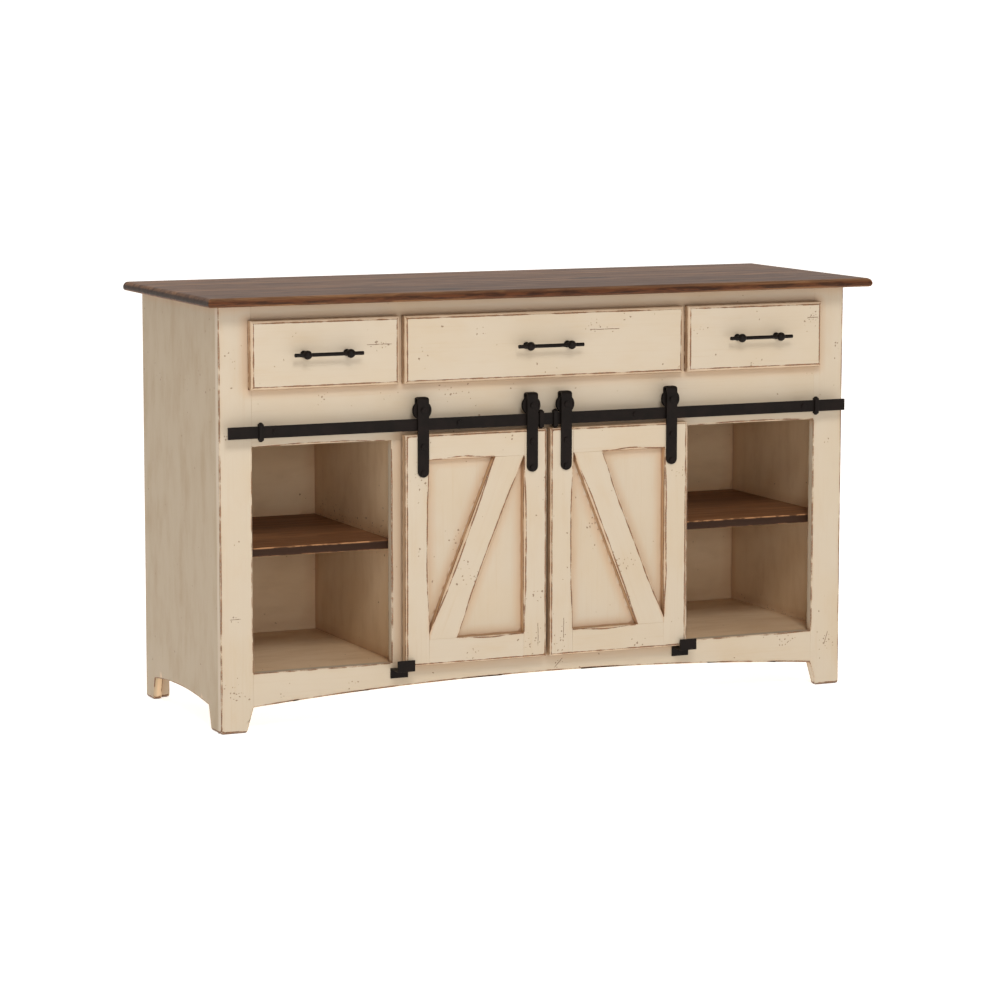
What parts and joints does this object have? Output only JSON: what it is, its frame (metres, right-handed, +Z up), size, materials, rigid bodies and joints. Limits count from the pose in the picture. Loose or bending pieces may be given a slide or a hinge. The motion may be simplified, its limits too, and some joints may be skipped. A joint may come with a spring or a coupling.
{
  "type": "sideboard buffet",
  "caption": "Farmhouse sideboard buffet with drawers over open cubbies and braced barn doors that roll sideways on a flat track, on arched feet with a dark worktop.",
  "frame": {"origin": "centre of the overall box in plan, on the floor", "axes": "+X along the length towards the right-hand end seen from the front, +Y towards the back, +Z up"},
  "size_m": [1.552, 0.545, 0.914],
  "materials": {
    "cream_paint": "satin antique white paint over wood, edges worn through, brown glaze in the corners",
    "walnut_stain": "dark walnut stain, satin lacquer",
    "black_iron": "matt black powder coat",
    "drawer_wood": "clear lacquered hardwood",
    "slide_steel": "zinc plated steel"
  },
  "bodies": {
    "cabinet": {"top_board": "walnut_stain", "side_left": "cream_paint", "side_right": "cream_paint", "partition_left": "cream_paint", "partition_right": "cream_paint", "bottom_panel": "cream_paint", "back_panel": "cream_paint", "dust_panels": "cream_paint", "top_stretchers": "cream_paint", "rear_leg_blocks": "cream_paint", "stile_left": "cream_paint", "stile_right": "cream_paint", "inner_stiles": "cream_paint", "top_rail": "cream_paint", "track_rail": "cream_paint", "bottom_rail": "cream_paint", "cubby_shelves": "walnut_stain", "center_shelf": "walnut_stain", "shelf_pins": "slide_steel", "slide_cleats": "drawer_wood", "slide_rails": "slide_steel", "track_bar": "black_iron", "track_spacers": "black_iron", "track_bolts": "black_iron", "track_stops": "black_iron", "door_guides": "black_iron"},
    "drawer_left": {"drawer_left_front": "cream_paint", "drawer_left_sides": "drawer_wood", "drawer_left_ends": "drawer_wood", "drawer_left_bottom": "drawer_wood", "drawer_left_pull": "black_iron", "drawer_left_runners": "slide_steel"},
    "drawer_middle": {"drawer_middle_front": "cream_paint", "drawer_middle_sides": "drawer_wood", "drawer_middle_ends": "drawer_wood", "drawer_middle_bottom": "drawer_wood", "drawer_middle_pull": "black_iron", "drawer_middle_runners": "slide_steel"},
    "drawer_right": {"drawer_right_front": "cream_paint", "drawer_right_sides": "drawer_wood", "drawer_right_ends": "drawer_wood", "drawer_right_bottom": "drawer_wood", "drawer_right_pull": "black_iron", "drawer_right_runners": "slide_steel"},
    "door_left": {"door_left_stiles": "cream_paint", "door_left_rails": "cream_paint", "door_left_brace": "cream_paint", "door_left_panel": "cream_paint", "door_left_hangers": "black_iron", "door_left_bolts": "black_iron"},
    "door_right": {"door_right_stiles": "cream_paint", "door_right_rails": "cream_paint", "door_right_brace": "cream_paint", "door_right_panel": "cream_paint", "door_right_hangers": "black_iron", "door_right_bolts": "black_iron"},
    "wheel_left_outer_body": {"wheel_left_outer": "black_iron"},
    "wheel_left_inner_body": {"wheel_left_inner": "black_iron"},
    "wheel_right_inner_body": {"wheel_right_inner": "black_iron"},
    "wheel_right_outer_body": {"wheel_right_outer": "black_iron"}
  },
  "joints": [
    {"name": "drawer_left_slide", "type": "slide", "parent": "cabinet", "child": "drawer_left", "axis": [0, -1, 0], "range_m": [0, 0.33]},
    {"name": "drawer_middle_slide", "type": "slide", "parent": "cabinet", "child": "drawer_middle", "axis": [0, -1, 0], "range_m": [0, 0.33]},
    {"name": "drawer_right_slide", "type": "slide", "parent": "cabinet", "child": "drawer_right", "axis": [0, -1, 0], "range_m": [0, 0.33]},
    {"name": "door_left_slide", "type": "slide", "parent": "cabinet", "child": "door_left", "axis": [-1, 0, 0], "range_m": [0, 0.335]},
    {"name": "door_right_slide", "type": "slide", "parent": "cabinet", "child": "door_right", "axis": [1, 0, 0], "range_m": [0, 0.335]},
    {"name": "wheel_left_outer_spin", "type": "hinge", "parent": "door_left", "child": "wheel_left_outer_body", "pos_m": [-0.2925, -0.242, 0.6638], "axis": [0, -1, 0], "range_deg": [0, 1100]},
    {"name": "wheel_left_inner_spin", "type": "hinge", "parent": "door_left", "child": "wheel_left_inner_body", "pos_m": [-0.04, -0.242, 0.6638], "axis": [0, -1, 0], "range_deg": [0, 1100]},
    {"name": "wheel_right_outer_spin", "type": "hinge", "parent": "door_right", "child": "wheel_right_outer_body", "pos_m": [0.2925, -0.242, 0.6638], "axis": [0, 1, 0], "range_deg": [0, 1100]},
    {"name": "wheel_right_inner_spin", "type": "hinge", "parent": "door_right", "child": "wheel_right_inner_body", "pos_m": [0.04, -0.242, 0.6638], "axis": [0, 1, 0], "range_deg": [0, 1100]}
  ],
  "couplings": [
    {"joint": "wheel_left_outer_spin", "follows": "door_left_slide", "rad_per_m": 57.143},
    {"joint": "wheel_left_inner_spin", "follows": "door_left_slide", "rad_per_m": 57.143},
    {"joint": "wheel_right_outer_spin", "follows": "door_right_slide", "rad_per_m": 57.143},
    {"joint": "wheel_right_inner_spin", "follows": "door_right_slide", "rad_per_m": 57.143}
  ]
}
